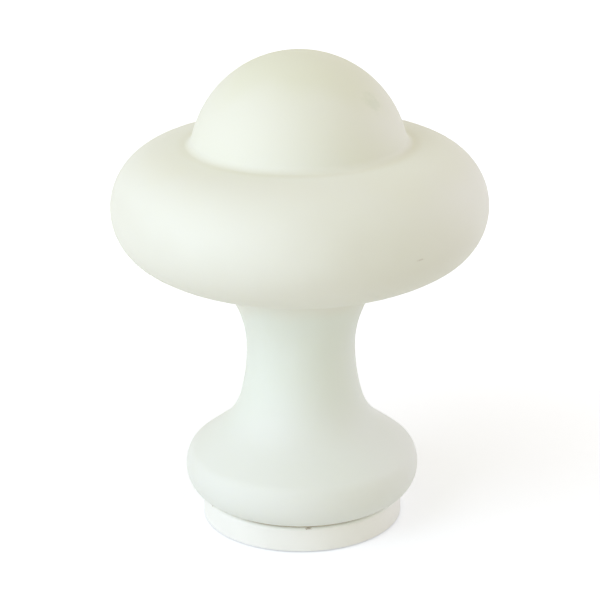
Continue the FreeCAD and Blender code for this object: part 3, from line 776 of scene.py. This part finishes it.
# ---------------------------------------------------------------- the lamp
for name, piece in frame["nodes"].items():
    dress(piece, SLOT_OF[name])
    piece.data.shade_smooth()
# The gasket takes the dark brown of painted shade in the seam.
frame["nodes"]["shade_gasket"].data.materials[0] = SEAM_SHADE_SILICONE

blown_shade()
threaded_tube()
bulb_cap()
holder_screw_shell()
ribbed_holder_shell()
posts = [
    (POST_CIRCLE * math.sin(math.radians(angle)), -POST_CIRCLE * math.cos(math.radians(angle)))
    for angle in POST_ANGLES]
screws_for("cover_screws", "cover_screws_threaded", posts, (12, 47, 80))
screws_for("terminal_block_screw", "terminal_block_screw_threaded", [(0, BLOCK_Y)], (31,))
for node, width in EDGE_WIDTHS.items():
    soften(node, width * MM)


# ---------------------------------------------------------------- floor, light and camera
def seen_directly(tree):
    """1 for what the camera sees, also in a mirror or through glass, and 0 for light cast."""
    ray = tree.nodes.new("ShaderNodeLightPath")
    seen = ray.outputs["Is Camera Ray"]
    for kind in ("Is Glossy Ray", "Is Transmission Ray"):
        either = tree.nodes.new("ShaderNodeMath")
        either.operation = "MAXIMUM"
        tree.links.new(seen, either.inputs[0])
        tree.links.new(ray.outputs[kind], either.inputs[1])
        seen = either.outputs["Value"]
    return seen


def white_floor():
    """Wide white floor: its own white to the camera, with the lamp's soft shadow on it."""
    bm = bmesh.new()
    bmesh.ops.create_grid(bm, x_segments=FLOOR_CELLS, y_segments=FLOOR_CELLS, size=FLOOR_REACH)
    mesh = mesh_of(bm, "studio_floor")
    s = Shader("studio_floor")
    s.set(Base_Color=(*FLOOR_COLOUR, 1.0), Roughness=1.0, Specular_IOR_Level=0.0)
    glow = s.node("ShaderNodeEmission")
    level = s.spread(s.distance_to((0, 0, 0)), GLOW_FROM, GLOW_TO, GLOW_NEAR, GLOW_FAR)
    s.link(s.math("MULTIPLY", seen_directly(s.tree), level), glow.inputs["Strength"])
    glow.inputs["Color"].default_value = (*GLOW_COLOUR, 1.0)
    both = s.node("ShaderNodeAddShader")
    s.link(s.surface.outputs["BSDF"], both.inputs[0])
    s.link(glow.outputs["Emission"], both.inputs[1])
    s.link(both.outputs["Shader"], s.tree.nodes["Material Output"].inputs["Surface"])
    mesh.materials.append(s.material)
    in_scene("studio_floor", mesh)


def studio_sky():
    """Plain soft light all round, seen as white by the camera."""
    world = bpy.data.worlds.new("studio_sky")
    world.use_nodes = True
    tree = world.node_tree
    background = tree.nodes["Background"]
    seen = seen_directly(tree)
    level = tree.nodes.new("ShaderNodeMapRange")
    level.inputs["To Min"].default_value = SKY_LEVEL
    level.inputs["To Max"].default_value = 1.0
    tree.links.new(seen, level.inputs["Value"])
    tree.links.new(level.outputs["Result"], background.inputs["Strength"])
    colour = tree.nodes.new("ShaderNodeMix")
    colour.data_type = "RGBA"
    colour.inputs[6].default_value = (*SKY_COLOUR, 1.0)
    colour.inputs[7].default_value = (*WHITE, 1.0)
    tree.links.new(seen, colour.inputs["Factor"])
    tree.links.new(colour.outputs[2], background.inputs["Color"])
    bpy.context.scene.world = world


def area_light(name, place, size, power, colour):
    """A round lamp that points at the middle of the object."""
    data = bpy.data.lights.new(name, "AREA")
    data.shape = "DISK"
    data.size = size
    data.energy = power
    data.color = colour
    lamp = in_scene(name, data)
    lamp.location = place
    lamp.rotation_euler = (AIM - place).to_track_quat("-Z", "Y").to_euler()


def camera():
    """The photograph's camera."""
    data = bpy.data.cameras.new("camera")
    data.sensor_width = SENSOR
    data.lens = FOCAL_PIXELS / FRAME_PIXELS * SENSOR
    data.shift_x = SHIFT_PIXELS / FRAME_PIXELS
    made = in_scene("camera", data)
    made.location = (0, -CAMERA_BACK, CAMERA_HEIGHT)
    tilt = Matrix.Rotation(math.radians(90) - CAMERA_PITCH, 4, "X")
    made.rotation_euler = (tilt @ Matrix.Rotation(CAMERA_ROLL, 4, "Z")).to_euler()
    bpy.context.scene.camera = made


white_floor()
studio_sky()
area_light("key_left", KEY_PLACE, KEY_SIZE, KEY_POWER, KEY_COLOUR)
area_light("rim_right", RIM_PLACE, RIM_SIZE, RIM_POWER, RIM_COLOUR)
camera()
bpy.context.scene.view_settings.view_transform = "Standard"
